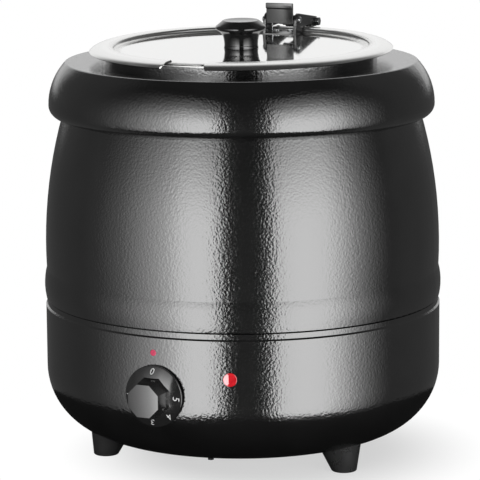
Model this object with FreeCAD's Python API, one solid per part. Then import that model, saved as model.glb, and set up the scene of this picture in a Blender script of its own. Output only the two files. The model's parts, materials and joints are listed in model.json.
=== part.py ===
import FreeCAD, Part
import math
import os

# Table-top wet-heat soup kettle. Millimetres, +Z up. The origin is on the kettle's axis, on the plane
# that the feet stand on. The front, where the dial and the lamp are, faces -Y. An angle round the axis
# is counted from the front, positive towards +X.

Vector = FreeCAD.Vector
up = Vector(0, 0, 1)

# Sheets and clearances
casing_sheet = 1.2
steel_sheet = 0.8
lid_sheet = 1.0
moving_gap = 0.3
running_gap = 0.05
hole_gap = 0.2
cut_reach = 9.0

# Round sizes: the bead band is the widest place, and the casings and the neck step in from it
bead_r = 170.0
bead_proud = 1.5
bowl_step = 0.8
collar_step = 5.8
collar_shelf = 49.0

# Base bowl
bowl_bottom_z = 18.7
bowl_corner = 57.5
bowl_shoulder = 1.3
crease_z = 129.0
seam_z = 134.5
spigot_inset = 5.7
spigot_gap = 0.2
spigot_height = 10.0
opening_margin = 14.0

# Barrel with the bead band round its foot
barrel_belly_z = 179.4
barrel_bow = 401.7
bead_z = 147.0
bead_foot_round = 2.0
bead_top_z = 161.0
barrel_top_z = 290.8
lip_width = 8.7

# Collar ring with its neck
collar_under_round = 9.5
collar_side_round = 52.0
collar_edge_round = 2.0
collar_rise = 36.4
neck_rise = 7.3

# Water pan, pot and rim
pan_gap = 0.4
pan_flange = 1.8
pan_floor_z = 71.0
pan_corner = 12.0
pot_gap = 0.5
pot_floor_z = 84.0
pot_taper = 5.0
pot_corner = 18.0
rim_bead = 0.8

# Lid, seen along its own axes: x across, y back towards the hinge, z up from the recessed flat
lid_overhang = 13.8
lid_edge_round = 14.0
lid_edge_drop = 4.2
recess_depth = 3.8
recess_gap = 2.0
recess_bend = 2.6
lid_turn = -5.7
lid_tilt = 1.25
notch_width = 35.0
notch_depth = 26.5
notch_inner_round = 2.5
notch_outer_round = 5.0
notch_overrun = 0.6

# Knob
knob_r = 20.8
knob_face_r = 15.0
knob_stem_r = 14.3
knob_foot_r = 14.8
knob_rim_z = 18.5
knob_rim_round = 2.6
knob_slope = 35.0
knob_dish = 0.8
knob_flare_z = 11.0
knob_screw_r = 2.5
knob_screw_depth = 14.0
knob_screw_head_r = 5.0
knob_screw_head = 3.0

# Hinge bracket
bracket_width = 31.3
cheek = 2.75
bracket_inset = 21.5
bracket_foot_length = 17.5
bracket_foot = 1.6
cheek_top_z = 18.3
cheek_top_back = 7.0
cheek_clear = 1.1
cheek_lean = 2.5
cheek_round = 5.0
crown_round = 2.5
heel_round = 1.5
pivot_overhang = 10.0
pivot_z = 5.9
lug_r = 4.5
hinge_bolt_r = 2.0
bolt_head = 3.0
bolt_head_flats = 7.0
rivet_r = 2.0
rivet_spread = 6.5
rivet_back = 13.5
rivet_head = 1.2
rivet_head_r = 3.6

# Release lever and its pin
pin_back = 8.0
pin_z = 12.3
pin_r = 2.0
pin_head = 2.2
pin_head_r = 2.8
lever_gap = 0.4
lever_sheet = 1.4
lever_face_back = 2.0
lever_bottom_z = 9.2
lever_crease_z = 22.2
lever_top_z = 27.3
lever_lip = 1.4
lever_lip_round = 0.8
lever_ear_r = 4.2
tail_inner_x = 1.5
tail_sheet = 2.0
tail_drop = 1.2
tail_root = 1.0
spring_wire = 0.5
spring_r = 3.2
spring_turns = 5
spring_bulge = 60.0

# Rim clip that carries the hinge on the pot
clip_width = 24.0
clip_sheet = 1.8
clip_slot_gap = 0.8
knuckle_r = 4.2
clip_reach = 2.4
arm_sheet = 2.6
arm_drop = 1.4
arm_heel = 1.0
knuckle_web = 3.5
web_rise = 1.9
web_run = 1.5
hold_open = 95.0
hold_notch = 1.2

# Controls
dial_angle = -8.7
dial_z = 81.3
dial_r = 25.5
dial_gap = 1.0
dial_rim = 1.8
dial_skirt = 9.0
dial_skirt_top_r = 14.7
grip_sides = 8
grip_sink = 1.4
dial_depth = 24.0
grip_base_flats = 29.6
grip_face_flats = 26.3
dial_wall = 2.0
dial_relief = 0.6
dial_taper = 1.5
dial_face = 6.0
dial_hub_r = 6.0
shaft_r = 3.0
shaft_seat = 8.0
lamp_angle = 12.8
lamp_z = 97.8
lamp_r = 5.6
lamp_flange = 1.2
lamp_dome = 2.2
lamp_body_r = 4.5
lamp_body_length = 26.0
lamp_nut_flats = 14.0
tag_length = 8.0
tag_sheet = 0.8
lamp_tag_width = 3.0
lamp_tag_spread = 2.2
lamp_nut = 4.0

# Thermostat behind the dial, with its bulb on the pan
thermostat_width = 38.0
thermostat_height = 34.0
thermostat_depth = 24.0
thermostat_plate = 1.5
thermostat_plate_height = 18.0
thermostat_shoulder = 4.0
thermostat_screw_x = 14.0
thermostat_screw_r = 1.75
thermostat_screw_in = 6.0
thermostat_screw_head_r = 3.0
thermostat_screw_head = 0.7
capillary_r = 1.2
capillary_bend = 12.0
capillary_rise = 22.0
bulb_r = 3.0
bulb_length = 80.0

# Heater under the pan
element_r = 4.0
element_inset = 14.0
element_gap_angle = 36.0
element_leg = 26.0
element_hole_gap = 0.5
plate_margin = 8.8
plate_sheet = 1.5
stud_r = 3.0
stud_length = 22.0
element_nut_flats = 10.0
element_nut = 5.0
cutout_r = 8.0
cutout_height = 9.0
cutout_place_r = 45.0
cutout_tag_width = 6.0
cutout_tag_spread = 4.4

# Tie rods, bottom plate and feet
tie_count = 3
tie_inset = 2.8
tie_r = 2.5
tie_tail = 7.0
nut_flats = 8.0
nut_height = 4.0
cover_lap = 8.0
cover_screw_count = 4
cover_screw_lap = 4.0
cover_screw_r = 1.75
cover_screw_head_r = 3.5
cover_screw_head = 2.2
cover_screw_length = 8.0
foot_angles = (-60.0, 60.0, 180.0)
foot_names = ("foot_front_left", "foot_front_right", "foot_rear")
foot_inset = 47.2
foot_sole_r = 10.5
foot_head_r = 21.0
foot_head_shift = 8.0
foot_head_z = 30.0
foot_sole_round = 1.5
foot_screw_r = 2.5
foot_screw_head_r = 4.8
foot_screw_head = 3.5
foot_recess_r = 5.8
foot_recess_z = 9.0

# Cord inlet and terminals
gland_angle = 180.0
gland_z = 85.0
gland_thread_r = 8.0
gland_bore_r = 4.2
gland_hex_flats = 22.0
gland_hex = 5.0
gland_dome_r = 9.8
gland_dome = 19.0
gland_grip = 10.4
gland_mouth_r = 6.1
gland_nut = 5.0
gland_thread_in = 11.0
guard_width = 40.0
guard_back = 14.0
guard_rise = 22.0
block_length = 42.0
block_width = 18.0
block_height = 16.0
block_ways = 4
block_gap = 3.0
block_hole_r = 2.2
block_hole = 8.0
block_hole_inset = 5.0
block_slot = 1.2
block_slot_depth = 4.0

# Sizes that follow from the ones above
bowl_r = bead_r - bowl_step
bowl_top_r = bowl_r - bowl_shoulder
wall_inner_r = bowl_r - casing_sheet
spigot_r = bowl_r - spigot_inset
corner_r = bowl_r - bowl_corner
corner_z = bowl_bottom_z + bowl_corner
barrel_r = bead_r - bead_proud
collar_r = bead_r - collar_step
collar_widest_z = barrel_top_z + collar_under_round
collar_top_z = collar_widest_z + collar_rise
neck_top_z = collar_top_z + neck_rise
lip_inner_r = collar_r - collar_under_round - lip_width
neck_r = collar_r - collar_shelf
pan_r = neck_r - casing_sheet - pan_gap
pan_inner_r = pan_r - steel_sheet
pan_flat_r = pan_inner_r - pan_corner
pan_flange_r = neck_r + pan_flange
pan_flange_z = neck_top_z + steel_sheet
pan_under_z = pan_floor_z - steel_sheet
pot_r = pan_inner_r - pot_gap
pot_inner_r = pot_r - steel_sheet
pot_base_r = pot_inner_r - pot_taper
rim_bead_r = pan_flange_r
rim_z = pan_flange_z + moving_gap + rim_bead
rim_top_z = rim_z + rim_bead
lid_r = neck_r + lid_overhang
recess_r = pot_inner_r - recess_gap
tilt_rise = math.sin(math.radians(lid_tilt))
lid_z = rim_top_z + moving_gap + lid_sheet - recess_depth + rim_bead_r * tilt_rise
notch_depth_r = lid_r - notch_depth
bracket_front = recess_r - bracket_inset
bracket_foot_back = bracket_front + bracket_foot_length
cheek_outer = bracket_width / 2
cheek_inner = cheek_outer - cheek
cheek_top_y = bracket_front + cheek_top_back
rivet_y = bracket_front + rivet_back
pivot_y = lid_r + pivot_overhang
tilt_run = math.cos(math.radians(lid_tilt))
pivot_back = pivot_y * tilt_run - pivot_z * tilt_rise
pivot_height = lid_z + pivot_y * tilt_rise + pivot_z * tilt_run
pin_y = bracket_front + pin_back
lever_face_y = bracket_front + lever_face_back
clip_inner_r = rim_bead_r - clip_reach
plate_r = pan_flat_r - plate_margin
element_ring_r = plate_r - element_inset
tie_circle_r = pan_flat_r - tie_inset
bowl_opening_r = tie_circle_r - opening_margin
cover_r = bowl_opening_r + cover_lap
cover_screw_circle_r = bowl_opening_r + cover_screw_lap
foot_circle_r = bowl_r - foot_inset
tie_angles = [i * 360 / tie_count for i in range(tie_count)]
cover_screw_angles = [(i + 0.5) * 360 / cover_screw_count for i in range(cover_screw_count)]
element_leg_angles = (180 - element_gap_angle / 2, 180 + element_gap_angle / 2)


class Path:
    # An open line in the plane of radius and height, made of straight runs and arcs.
    def __init__(self, r, z):
        self.here = (r, z)
        self.edges = []

    def line(self, r, z):
        start = Vector(self.here[0], 0, self.here[1])
        self.edges.append(Part.LineSegment(start, Vector(r, 0, z)).toShape())
        self.here = (r, z)
        return self

    def arc(self, end, centre):
        # the shorter arc about a centre
        start = self.here
        radius = math.hypot(start[0] - centre[0], start[1] - centre[1])
        middle = ((start[0] + end[0]) / 2 - centre[0], (start[1] + end[1]) / 2 - centre[1])
        scale = radius / math.hypot(middle[0], middle[1])
        through = (centre[0] + middle[0] * scale, centre[1] + middle[1] * scale)
        points = [Vector(p[0], 0, p[1]) for p in (start, through, end)]
        self.edges.append(Part.Arc(*points).toShape())
        self.here = end
        return self

    def wire(self):
        return Part.Wire(self.edges)

    def close(self):
        first = self.edges[0].Vertexes[0].Point
        return self.line(first.x, first.z)


def turned(path):
    # solid of revolution of a closed outline
    return Part.Face(path.close().wire()).revolve(Vector(0, 0, 0), up, 360)


def spun_sheet(path, thickness):
    # revolved sheet; a positive thickness lies to the left of the path's direction
    face = path.wire().makeOffset2D(thickness, 2, True, True)
    return face.revolve(Vector(0, 0, 0), up, 360)


def cylinder(r, start, end):
    # round bar from one point to another
    run = Vector(*end) - Vector(*start)
    return Part.makeCylinder(r, run.Length, Vector(*start), run)


def upright(r, circle_r, z0, z1, angle=0):
    # upright bar at a place on a circle round the axis
    return about_axis(cylinder(r, (0, -circle_r, z0), (0, -circle_r, z1)), angle)


def hexagon(flats, start, end):
    # six-sided bar from one point to another
    return prism(6, flats, start, end)


def polygon(sides, flats, centre, normal):
    # regular wire across its flats, the first flat square to the second axis
    normal = Vector(*normal)
    spin = FreeCAD.Rotation(up, normal)
    r = flats / 2 / math.cos(math.pi / sides)
    points = []
    for i in range(sides + 1):
        a = 2 * math.pi * (i + 0.5) / sides
        points.append(Vector(*centre) + spin.multVec(Vector(r * math.cos(a), r * math.sin(a), 0)))
    return Part.makePolygon(points)


def prism(sides, flats, start, end):
    run = Vector(*end) - Vector(*start)
    return Part.Face(polygon(sides, flats, start, run)).extrude(run)


def block(x0, x1, y0, y1, z0, z1):
    return Part.makeBox(x1 - x0, y1 - y0, z1 - z0, Vector(x0, y0, z0))


def extruded(points, x0, x1):
    # outline in the plane of y and z, drawn out along x
    corners = [Vector(x0, y, z) for y, z in points]
    return Part.Face(Part.makePolygon(corners + corners[:1])).extrude(Vector(x1 - x0, 0, 0))


def rounded(shape, corners, r):
    # round the edges that run along x at the given places in y and z
    chosen = []
    for edge in shape.Edges:
        middle = edge.CenterOfMass
        along = abs(edge.Vertexes[0].X - edge.Vertexes[-1].X) > 0.01
        if along and any(math.hypot(middle.y - y, middle.z - z) < 0.01 for y, z in corners):
            chosen.append(edge)
    return shape.makeFillet(r, chosen)


def about_axis(shape, angle):
    # turn a piece made at the front to its angle round the kettle
    turned_shape = shape.copy()
    turned_shape.rotate(Vector(0, 0, 0), up, angle)
    return turned_shape


def on_lid(shape):
    # from the lid's own axes to its place on the pot, where the clip under its rear tilts it forward
    placed = shape.copy()
    placed.rotate(Vector(0, 0, 0), Vector(1, 0, 0), lid_tilt)
    placed.rotate(Vector(0, 0, 0), up, lid_turn)
    placed.translate(Vector(0, 0, lid_z))
    return placed


def group(solids):
    return Part.makeCompound(solids)


def barrel_radius(z):
    return barrel_r - barrel_bow + math.sqrt(barrel_bow ** 2 - (z - barrel_belly_z) ** 2)


def bead_bow():
    # radius of the shallow arc from the bead's widest place to where it meets the barrel
    step = bead_r - barrel_radius(bead_top_z)
    rise = bead_top_z - bead_z
    return (step ** 2 + rise ** 2) / (2 * step)


def edge_round(centre, bow, small, level):
    # centre of a small round between an arc and a level line, and where it meets the arc
    z = level - small if level > centre[1] else level + small
    reach = bow - small
    r = centre[0] + math.sqrt(reach ** 2 - (z - centre[1]) ** 2)
    grow = bow / reach
    return (r, z), (centre[0] + (r - centre[0]) * grow, centre[1] + (z - centre[1]) * grow)


def wall_hole(r, x, z, angle):
    # bar that cuts a level hole through the bowl's wall
    return about_axis(cylinder(r, (x, -wall_inner_r + 2 * cut_reach, z), (x, -bowl_r - cut_reach, z)), angle)


def base_bowl():
    path = Path(bowl_opening_r, bowl_bottom_z).line(corner_r, bowl_bottom_z)
    path.arc((bowl_r, corner_z), (corner_r, corner_z))
    path.line(bowl_r, crease_z)
    path.line(bowl_top_r, crease_z + bowl_shoulder)
    path.line(bowl_top_r, seam_z)
    path.line(spigot_r, seam_z)
    path.line(spigot_r, seam_z + spigot_height)
    shell = spun_sheet(path, casing_sheet)
    holes = [
        wall_hole(shaft_r + 1, 0, dial_z, dial_angle),
        wall_hole(lamp_body_r + hole_gap, 0, lamp_z, lamp_angle),
        wall_hole(gland_thread_r + hole_gap, 0, gland_z, gland_angle),
    ]
    for x in (-thermostat_screw_x, thermostat_screw_x):
        holes.append(wall_hole(thermostat_screw_r + hole_gap, x, dial_z, dial_angle))
    for angle in tie_angles:
        holes.append(upright(tie_r + hole_gap, tie_circle_r, 0, corner_z, angle))
    for angle in foot_angles:
        holes.append(upright(foot_screw_r + hole_gap, foot_circle_r, 0, corner_z, angle))
    for angle in cover_screw_angles:
        holes.append(upright(cover_screw_r + hole_gap, cover_screw_circle_r, 0, corner_z, angle))
    return shell.fuse(wire_guard()).removeSplitter().cut(group(holes))


def wire_guard():
    # strip welded in the bowl behind the inlet, which keeps the cord's wires off the hot pan
    back = wall_inner_r - gland_thread_in - guard_back
    half = guard_width / 2
    strip = block(-half, half, back - casing_sheet, back, bowl_bottom_z, gland_z + guard_rise)
    path = Path(0, bowl_bottom_z).line(corner_r, bowl_bottom_z)
    path.arc((bowl_r, corner_z), (corner_r, corner_z))
    path.line(bowl_r, crease_z).line(0, crease_z)
    return about_axis(strip, gland_angle - 180).common(turned(path))


def barrel_wall():
    bead_centre = (bead_r - bead_bow(), bead_z)
    foot, meet = edge_round(bead_centre, bead_bow(), bead_foot_round, seam_z)
    path = Path(spigot_r + spigot_gap, seam_z).line(foot[0], seam_z)
    path.arc(meet, foot)
    path.arc((barrel_radius(bead_top_z), bead_top_z), bead_centre)
    path.arc((barrel_radius(barrel_top_z), barrel_top_z), (barrel_r - barrel_bow, barrel_belly_z))
    path.line(lip_inner_r, barrel_top_z)
    return spun_sheet(path, casing_sheet)


def collar_ring():
    under_r = collar_r - collar_under_round
    side = (collar_r - collar_side_round, collar_widest_z)
    edge, meet = edge_round(side, collar_side_round, collar_edge_round, collar_top_z)
    path = Path(lip_inner_r, barrel_top_z).line(under_r, barrel_top_z)
    path.arc((collar_r, collar_widest_z), (under_r, collar_widest_z))
    path.arc(meet, side)
    path.arc((edge[0], collar_top_z), edge)
    path.line(neck_r, collar_top_z).line(neck_r, neck_top_z)
    return spun_sheet(path, casing_sheet)


def water_pan():
    path = Path(pan_flange_r, pan_flange_z).line(pan_inner_r, pan_flange_z)
    path.line(pan_inner_r, pan_floor_z + pan_corner)
    path.arc((pan_inner_r - pan_corner, pan_floor_z), (pan_inner_r - pan_corner, pan_floor_z + pan_corner))
    path.line(0, pan_floor_z)
    stud = cylinder(stud_r, (0, 0, pan_under_z), (0, 0, pan_under_z - stud_length))
    return spun_sheet(path, steel_sheet).fuse(stud).removeSplitter()


def soup_pot():
    lean = math.atan2(pot_inner_r - pot_base_r, rim_top_z - pot_floor_z)
    # the corner arc meets the leaning wall and the flat floor without a kink
    centre_r = pot_base_r - pot_corner
    centre_z = pot_floor_z + steel_sheet + pot_corner
    meet = (centre_r + pot_corner * math.cos(lean), centre_z - pot_corner * math.sin(lean))
    path = Path(rim_bead_r, rim_top_z).line(pot_inner_r, rim_top_z)
    path.line(*meet)
    path.arc((centre_r, centre_z - pot_corner), (centre_r, centre_z))
    path.line(0, centre_z - pot_corner)
    bead = Part.makeTorus(rim_bead_r, rim_bead, Vector(0, 0, rim_z), up)
    return spun_sheet(path, steel_sheet).fuse(bead).removeSplitter()


def lid_disc():
    # flat middle, a soft step up to the flange, and a broad round down to the edge
    wall_r = recess_r - lid_sheet
    half_rise = recess_depth / 2
    half_run = math.sqrt(recess_bend ** 2 - (recess_bend - half_rise) ** 2)
    edge_width = math.sqrt(lid_edge_round ** 2 - (lid_edge_round - lid_edge_drop) ** 2)
    edge_r = lid_r - edge_width
    path = Path(0, 0).line(wall_r - half_run, 0)
    path.arc((wall_r, half_rise), (wall_r - half_run, recess_bend))
    path.arc((wall_r + half_run, recess_depth), (wall_r + half_run, recess_depth - recess_bend))
    path.line(edge_r, recess_depth)
    path.arc((lid_r, recess_depth - lid_edge_drop), (edge_r, recess_depth - lid_edge_round))
    disc = spun_sheet(path, -lid_sheet)
    screw_hole = cylinder(knob_screw_r + hole_gap, (0, 0, -cut_reach), (0, 0, cut_reach))
    disc = disc.cut(group([ladle_notch(), hinge_slot(), screw_hole] + rivet_holes()))
    return on_lid(disc)


def ladle_notch():
    # drawn from above: round inner corners, and rounded corners where the sides leave the flange
    half = notch_width / 2
    inner = notch_inner_round
    outer = notch_outer_round
    side = half + outer
    deep_y = -notch_depth_r
    turn_y = outer - math.sqrt(lid_r ** 2 - side ** 2) - notch_overrun
    far_y = -lid_r - cut_reach
    path = Path(half - inner, deep_y).arc((half, deep_y - inner), (half - inner, deep_y - inner))
    path.line(half, turn_y).arc((side, turn_y - outer), (side, turn_y))
    path.line(side, far_y).line(-side, far_y)
    path.line(-side, turn_y - outer).arc((-half, turn_y), (-side, turn_y))
    path.line(-half, deep_y - inner).arc((inner - half, deep_y), (inner - half, deep_y - inner))
    cut = Part.Face(path.close().wire()).extrude(Vector(0, 4 * cut_reach, 0))
    cut.translate(Vector(0, -2 * cut_reach, 0))
    cut.rotate(Vector(0, 0, 0), Vector(1, 0, 0), -90)
    return cut


def hinge_slot():
    # the flange is open behind, where the clip comes up between the cheeks
    half = clip_width / 2 + clip_slot_gap
    front = clip_inner_r - clip_slot_gap
    return block(-half, half, front, lid_r + cut_reach, -2 * cut_reach, 2 * cut_reach)


def rivet_holes():
    places = (-rivet_spread, rivet_spread)
    return [cylinder(rivet_r, (x, rivet_y, -cut_reach), (x, rivet_y, cut_reach)) for x in places]


def lid_knob():
    # a spool: concave flare under a round rim, a sloping shoulder and a shallow dish on top
    rim_r = knob_r - knob_rim_round
    under_z = knob_rim_z - knob_rim_round
    flare = rim_r - knob_stem_r
    rise = under_z - knob_flare_z
    sweep = (rise ** 2 + flare ** 2) / (2 * flare)
    slope = math.radians(knob_slope)
    shoulder_r = rim_r + knob_rim_round * math.sin(slope)
    shoulder_z = knob_rim_z + knob_rim_round * math.cos(slope)
    face_z = shoulder_z + (shoulder_r - knob_face_r) * math.tan(slope)
    dish_r = (knob_face_r ** 2 + knob_dish ** 2) / (2 * knob_dish)
    path = Path(0, 0).line(knob_foot_r, 0)
    path.line(knob_stem_r, knob_flare_z / 2)
    path.line(knob_stem_r, knob_flare_z)
    path.arc((rim_r, under_z), (knob_stem_r + sweep, knob_flare_z))
    path.arc((knob_r, knob_rim_z), (rim_r, knob_rim_z))
    path.arc((shoulder_r, shoulder_z), (rim_r, knob_rim_z))
    path.line(knob_face_r, face_z)
    path.arc((0, face_z - knob_dish), (0, face_z - knob_dish + dish_r))
    knob = turned(path)
    hole = cylinder(knob_screw_r, (0, 0, 0), (0, 0, knob_screw_depth))
    return on_lid(knob.cut(hole))


def knob_screw():
    head_z = -lid_sheet
    screw = cylinder(knob_screw_r, (0, 0, head_z), (0, 0, knob_screw_depth))
    head = cylinder(knob_screw_head_r, (0, 0, head_z - knob_screw_head), (0, 0, head_z))
    return on_lid(screw.fuse(head).removeSplitter())


def cheek_outline():
    # side view of a cheek as corners; the rear end is the round lug, added as a disc
    over_flange = recess_depth + cheek_clear
    run = math.atan2(cheek_top_z - pivot_z - lug_r, pivot_y - cheek_top_y)
    lug_top = (pivot_y + lug_r * math.sin(run), pivot_z + lug_r * math.cos(run))
    return [
        (bracket_front, 0),
        (bracket_foot_back, 0),
        (bracket_foot_back, over_flange),
        (pivot_y, over_flange),
        (pivot_y, pivot_z),
        lug_top,
        (cheek_top_y, cheek_top_z),
        (bracket_front + cheek_lean, cheek_top_z - cheek_round),
    ]


def hinge_bracket():
    outline = cheek_outline()
    crown = outline[-2:]
    heel = outline[2:3]
    sides = []
    for side in (-1, 1):
        x0, x1 = sorted((side * cheek_inner, side * cheek_outer))
        plate = rounded(rounded(extruded(outline, x0, x1), crown, crown_round), heel, heel_round)
        lug = cylinder(lug_r, (x0, pivot_y, pivot_z), (x1, pivot_y, pivot_z))
        sides.append(plate.fuse(lug))
    foot = block(-cheek_outer, cheek_outer, bracket_front, bracket_foot_back, 0, bracket_foot)
    bracket = foot.fuse(sides).removeSplitter()
    far = cheek_outer + cut_reach
    cuts = [
        cylinder(hinge_bolt_r + running_gap, (-far, pivot_y, pivot_z), (far, pivot_y, pivot_z)),
        cylinder(pin_r, (-far, pin_y, pin_z), (far, pin_y, pin_z)),
    ] + rivet_holes()
    return on_lid(bracket.cut(group(cuts)))


def bracket_rivets():
    rivets = []
    for x in (-rivet_spread, rivet_spread):
        shank = cylinder(rivet_r, (x, rivet_y, -lid_sheet), (x, rivet_y, bracket_foot))
        upper = cylinder(rivet_head_r, (x, rivet_y, bracket_foot), (x, rivet_y, bracket_foot + rivet_head))
        lower = cylinder(rivet_head_r, (x, rivet_y, -lid_sheet - rivet_head), (x, rivet_y, -lid_sheet))
        rivets.append(shank.fuse([upper, lower]).removeSplitter())
    return on_lid(group(rivets))


def lever_pin():
    pin = cylinder(pin_r, (-cheek_outer, pin_y, pin_z), (cheek_outer, pin_y, pin_z))
    heads = []
    for side in (-1, 1):
        start = (side * cheek_outer, pin_y, pin_z)
        heads.append(cylinder(pin_head_r, start, (side * (cheek_outer + pin_head), pin_y, pin_z)))
    return on_lid(pin.fuse(heads).removeSplitter())


def nose_y():
    # the tail ends just in front of the knuckle
    return pivot_y - knuckle_r - moving_gap


def release_lever():
    half = cheek_inner - lever_gap
    back_y = lever_face_y + lever_sheet
    nose_z = pivot_z + tail_drop
    # front plate with its finger lip, as a side view
    lip_y = lever_face_y - lever_lip
    plate = extruded([
        (lever_face_y, lever_bottom_z),
        (back_y, lever_bottom_z),
        (back_y, lever_top_z),
        (lip_y, lever_top_z),
        (lip_y, lever_crease_z + lever_lip_round),
        (lever_face_y, lever_crease_z),
    ], -half, half)
    plate = rounded(plate, [(lip_y, lever_top_z)], lever_lip_round)
    pieces = []
    for x0, x1 in ((-half, -half + lever_sheet), (half - lever_sheet, half)):
        ear = cylinder(lever_ear_r, (x0, pin_y, pin_z), (x1, pin_y, pin_z))
        web = block(x0, x1, lever_face_y, pin_y, pin_z - lever_ear_r + 1, pin_z + lever_ear_r)
        pieces += [ear, web]
    # the tail reaches back on the right half to a nose in front of the knuckle
    tail = extruded([
        (pin_y, pin_z - tail_root),
        (nose_y(), nose_z),
        (nose_y(), nose_z + tail_sheet),
        (pin_y, pin_z + tail_sheet + tail_root),
    ], tail_inner_x, half)
    hub = cylinder(lever_ear_r, (tail_inner_x, pin_y, pin_z), (half, pin_y, pin_z))
    lever = plate.fuse(pieces + [tail, hub]).removeSplitter()
    hole = cylinder(pin_r + running_gap, (-half - cut_reach, pin_y, pin_z), (half + cut_reach, pin_y, pin_z))
    return on_lid(lever.cut(hole))


def lever_spring():
    # close-wound coil on the left half of the pin, its turns drawn as touching rings, with one leg down
    # to the bracket's foot and one forward to the plate
    pitch = 2 * spring_wire
    length = pitch * spring_turns
    bow = pitch / 2 / math.tan(math.radians(spring_bulge))
    path = Path(spring_r - spring_wire, 0).line(spring_r, 0)
    for turn in range(spring_turns):
        path.arc((spring_r, pitch * (turn + 1)), (spring_r - bow, pitch * (turn + 0.5)))
    path.line(spring_r - spring_wire, length)
    coil = turned(path)
    coil.rotate(Vector(0, 0, 0), Vector(0, 1, 0), 90)
    x0 = -cheek_inner + lever_gap + lever_sheet + moving_gap
    coil.translate(Vector(x0, pin_y, pin_z))
    plate_y = lever_face_y + lever_sheet + moving_gap
    leg_x = x0 + spring_wire
    leg_y = pin_y + spring_r - spring_wire / 2
    down = cylinder(spring_wire, (leg_x, leg_y, pin_z), (leg_x, leg_y, bracket_foot))
    arm_x = x0 + length - spring_wire
    arm_z = pin_z + spring_r - spring_wire / 2
    forward = cylinder(spring_wire, (arm_x, pin_y, arm_z), (arm_x, plate_y, arm_z))
    return on_lid(coil.fuse([down, forward]).removeSplitter())


def rim_clip():
    half = clip_width / 2
    t = clip_sheet
    outer_r = rim_bead_r + rim_bead
    under = rim_z - rim_bead
    top = rim_top_z + t
    toe_r = pan_flange_r + moving_gap
    # hook round the rim's bead, as a slice of a turned ring
    path = Path(clip_inner_r, rim_top_z).line(outer_r, rim_top_z)
    path.line(outer_r, under).line(toe_r, under).line(toe_r, under - t)
    path.line(outer_r + t, under - t).line(outer_r + t, top).line(clip_inner_r, top)
    hook = turned(path).common(block(-half, half, 0, lid_r, 0, top + cut_reach))
    # arm back to the hinge knuckle
    arm_top = top - arm_drop
    arm = extruded([
        (outer_r, arm_top - arm_sheet),
        (pivot_back - arm_heel, arm_top - arm_sheet),
        (pivot_back + knuckle_web, arm_top),
        (pivot_back + knuckle_web, pivot_height),
        (pivot_back - knuckle_web, pivot_height),
        (pivot_back - knuckle_web, arm_top + web_rise),
        (pivot_back - knuckle_web - web_run, arm_top),
        (outer_r, arm_top),
    ], -half, half)
    knuckle = cylinder(knuckle_r, (-half, pivot_back, pivot_height), (half, pivot_back, pivot_height))
    clip = hook.fuse([arm, knuckle]).removeSplitter()
    far = half + cut_reach
    bolt_hole = cylinder(hinge_bolt_r, (-far, pivot_back, pivot_height), (far, pivot_back, pivot_height))
    return about_axis(clip.cut(group([hold_open_notch(), bolt_hole])), lid_turn)


def hold_open_notch():
    # groove in the knuckle, where the lever's nose stands with the lid up
    half = clip_width
    nose = math.degrees(math.atan2(tail_drop + tail_sheet / 2, nose_y() - pivot_y))
    wide = tail_sheet + 2 * moving_gap
    groove = block(-half, half, knuckle_r - hold_notch, knuckle_r + cut_reach, -wide / 2, wide / 2)
    groove.rotate(Vector(0, 0, 0), Vector(1, 0, 0), nose + lid_tilt - hold_open)
    groove.translate(Vector(0, pivot_back, pivot_height))
    return groove


def hinge_bolt():
    end = cheek_outer + moving_gap
    tail = end + bolt_head + 2
    bolt = cylinder(hinge_bolt_r, (-tail, pivot_y, pivot_z), (end, pivot_y, pivot_z))
    head = hexagon(bolt_head_flats, (end, pivot_y, pivot_z), (end + bolt_head, pivot_y, pivot_z))
    return on_lid(bolt.fuse(head).removeSplitter())


def hinge_nut():
    end = cheek_outer + moving_gap
    nut = hexagon(bolt_head_flats, (-end - bolt_head, pivot_y, pivot_z), (-end, pivot_y, pivot_z))
    hole = cylinder(hinge_bolt_r, (-end - cut_reach, pivot_y, pivot_z), (0, pivot_y, pivot_z))
    return on_lid(nut.cut(hole))


def control_dial():
    back = -bowl_r - dial_gap
    path = Path(0, 0).line(dial_r, 0).line(dial_r, dial_rim)
    path.line(dial_skirt_top_r, dial_skirt).line(0, dial_skirt)
    skirt = turned(path)
    grip = Part.makeLoft([
        polygon(grip_sides, grip_base_flats, (0, 0, dial_skirt - grip_sink), (0, 0, 1)),
        polygon(grip_sides, grip_face_flats, (0, 0, dial_depth), (0, 0, 1)),
    ], True, True)
    # the moulding is hollow behind, round a hub for the shaft
    hollow_r = dial_r - dial_wall
    inner = Path(dial_hub_r, -1).line(hollow_r, -1).line(hollow_r, dial_rim - dial_relief)
    inner.line(dial_skirt_top_r - dial_wall - dial_taper, dial_skirt - dial_wall)
    inner.line(dial_hub_r, dial_skirt - dial_wall)
    bore = cylinder(shaft_r, (0, 0, -1), (0, 0, dial_depth - dial_face))
    dial = skirt.fuse(grip).removeSplitter().cut(group([turned(inner), bore]))
    return at_wall(dial, back, dial_z, dial_angle)


def at_wall(shape, y, z, angle):
    # a piece made along +Z is laid along the outward normal of the wall
    laid = shape.copy()
    laid.rotate(Vector(0, 0, 0), Vector(1, 0, 0), 90)
    laid.translate(Vector(0, y, z))
    return about_axis(laid, angle)


def thermostat_front():
    # depth of the mounting plate's face, whose edges touch the round wall
    return math.sqrt(wall_inner_r ** 2 - (thermostat_width / 2) ** 2)


def thermostat_shaft():
    start = -thermostat_front() + shaft_seat
    end = -bowl_r - dial_gap - dial_depth + dial_face
    return about_axis(cylinder(shaft_r, (0, start, dial_z), (0, end, dial_z)), dial_angle)


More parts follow.
